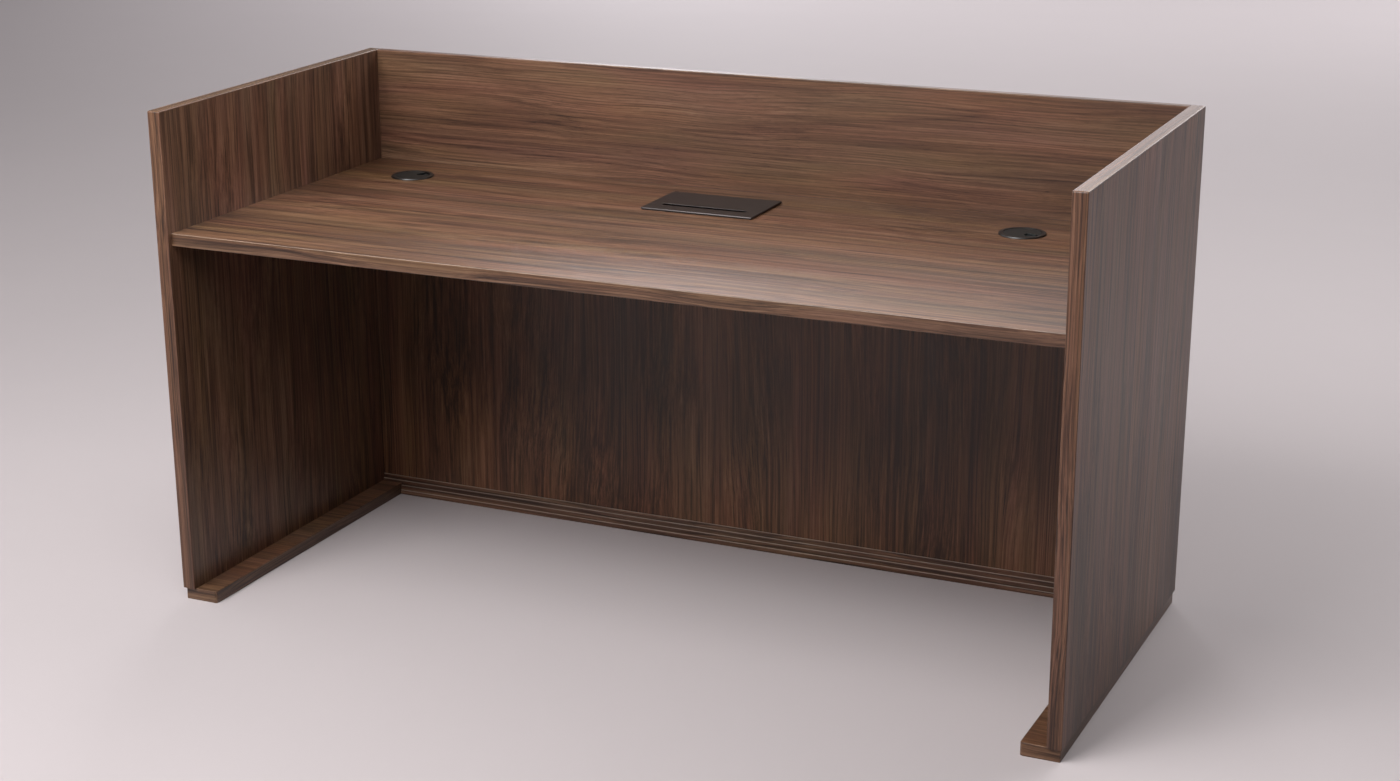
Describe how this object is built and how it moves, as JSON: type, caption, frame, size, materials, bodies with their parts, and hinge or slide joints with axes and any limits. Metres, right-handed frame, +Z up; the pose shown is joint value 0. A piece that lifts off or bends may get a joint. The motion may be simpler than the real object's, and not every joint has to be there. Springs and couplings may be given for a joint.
{
  "type": "judges bench",
  "caption": "Judges bench: a laminated desk between full-height end panels and a back, with a stepped skirting, round cable grommets and a hinged power box in the worktop.",
  "frame": {"origin": "on the floor, under the middle of the bench's overall box", "axes": "+X along the bench's width, to the right of the person who sits at it; +Y away from that person, towards the closed public side; +Z up"},
  "size_m": [1.8, 0.79, 0.985],
  "materials": {
    "walnut_laminate": "dark walnut laminate, satin",
    "walnut_edge": "walnut edge band, satin, a shade lighter than the boards",
    "bare_wood": "bare softwood",
    "black_plastic": "moulded, satin black",
    "bronze_metal": "dark bronze anodised, brushed",
    "zinc_steel": "bright zinc plated",
    "tray_metal": "dark grey powder coat",
    "socket_plastic": "moulded, dark grey"
  },
  "bodies": {
    "bench": {"left_end_panel": "walnut_laminate", "right_end_panel": "walnut_laminate", "worktop": "walnut_laminate", "back_panel": "walnut_laminate", "modesty_panel": "walnut_laminate", "left_base_rail": "walnut_laminate", "right_base_rail": "walnut_laminate", "back_base_rail": "walnut_laminate", "stepped_skirting": "walnut_laminate", "left_front_edge_band": "walnut_edge", "left_top_edge_band": "walnut_edge", "left_back_edge_band": "walnut_edge", "right_front_edge_band": "walnut_edge", "right_top_edge_band": "walnut_edge", "right_back_edge_band": "walnut_edge", "worktop_front_edge_band": "walnut_edge", "back_top_edge_band": "walnut_edge", "left_spacer_batten": "bare_wood", "centre_spacer_batten": "bare_wood", "right_spacer_batten": "bare_wood", "left_lower_dowel": "bare_wood", "left_upper_dowel": "bare_wood", "right_lower_dowel": "bare_wood", "right_upper_dowel": "bare_wood", "left_rail_front_screw": "zinc_steel", "left_rail_rear_screw": "zinc_steel", "right_rail_front_screw": "zinc_steel", "right_rail_rear_screw": "zinc_steel", "back_rail_left_screw": "zinc_steel", "back_rail_right_screw": "zinc_steel", "left_worktop_cleat": "zinc_steel", "right_worktop_cleat": "zinc_steel", "left_cleat_panel_front_screw": "zinc_steel", "left_cleat_panel_rear_screw": "zinc_steel", "left_cleat_worktop_front_screw": "zinc_steel", "left_cleat_worktop_rear_screw": "zinc_steel", "right_cleat_panel_front_screw": "zinc_steel", "right_cleat_panel_rear_screw": "zinc_steel", "right_cleat_worktop_front_screw": "zinc_steel", "right_cleat_worktop_rear_screw": "zinc_steel", "left_grommet_liner": "black_plastic", "right_grommet_liner": "black_plastic", "power_box_frame": "bronze_metal", "power_box_hinge_pin": "zinc_steel", "power_box_tray": "tray_metal", "left_spring_clip": "zinc_steel", "right_spring_clip": "zinc_steel", "socket_rail": "socket_plastic", "left_mains_socket": "socket_plastic", "right_mains_socket": "socket_plastic", "data_socket": "socket_plastic"},
    "power_lid": {"power_box_lid": "bronze_metal"},
    "left_cap": {"left_grommet_cap": "black_plastic", "left_shutter_screw": "zinc_steel"},
    "left_shutter": {"left_grommet_shutter": "black_plastic"},
    "right_cap": {"right_grommet_cap": "black_plastic", "right_shutter_screw": "zinc_steel"},
    "right_shutter": {"right_grommet_shutter": "black_plastic"}
  },
  "joints": [
    {"name": "lid_hinge", "type": "hinge", "parent": "bench", "child": "power_lid", "pos_m": [-0.019, 0.2994, 0.7534], "axis": [-1, 0, 0], "range_deg": [0, 100]},
    {"name": "left_cap_spin", "type": "hinge", "parent": "bench", "child": "left_cap", "pos_m": [-0.713, 0.24, 0.75], "axis": [0, 0, 1], "continuous": true},
    {"name": "left_shutter_swing", "type": "hinge", "parent": "left_cap", "child": "left_shutter", "pos_m": [-0.713, 0.24, 0.748], "axis": [0, 0, 1], "range_deg": [0, 40]},
    {"name": "right_cap_spin", "type": "hinge", "parent": "bench", "child": "right_cap", "pos_m": [0.608, 0.24, 0.75], "axis": [0, 0, 1], "continuous": true},
    {"name": "right_shutter_swing", "type": "hinge", "parent": "right_cap", "child": "right_shutter", "pos_m": [0.608, 0.24, 0.748], "axis": [0, 0, 1], "range_deg": [-40, 0]}
  ]
}
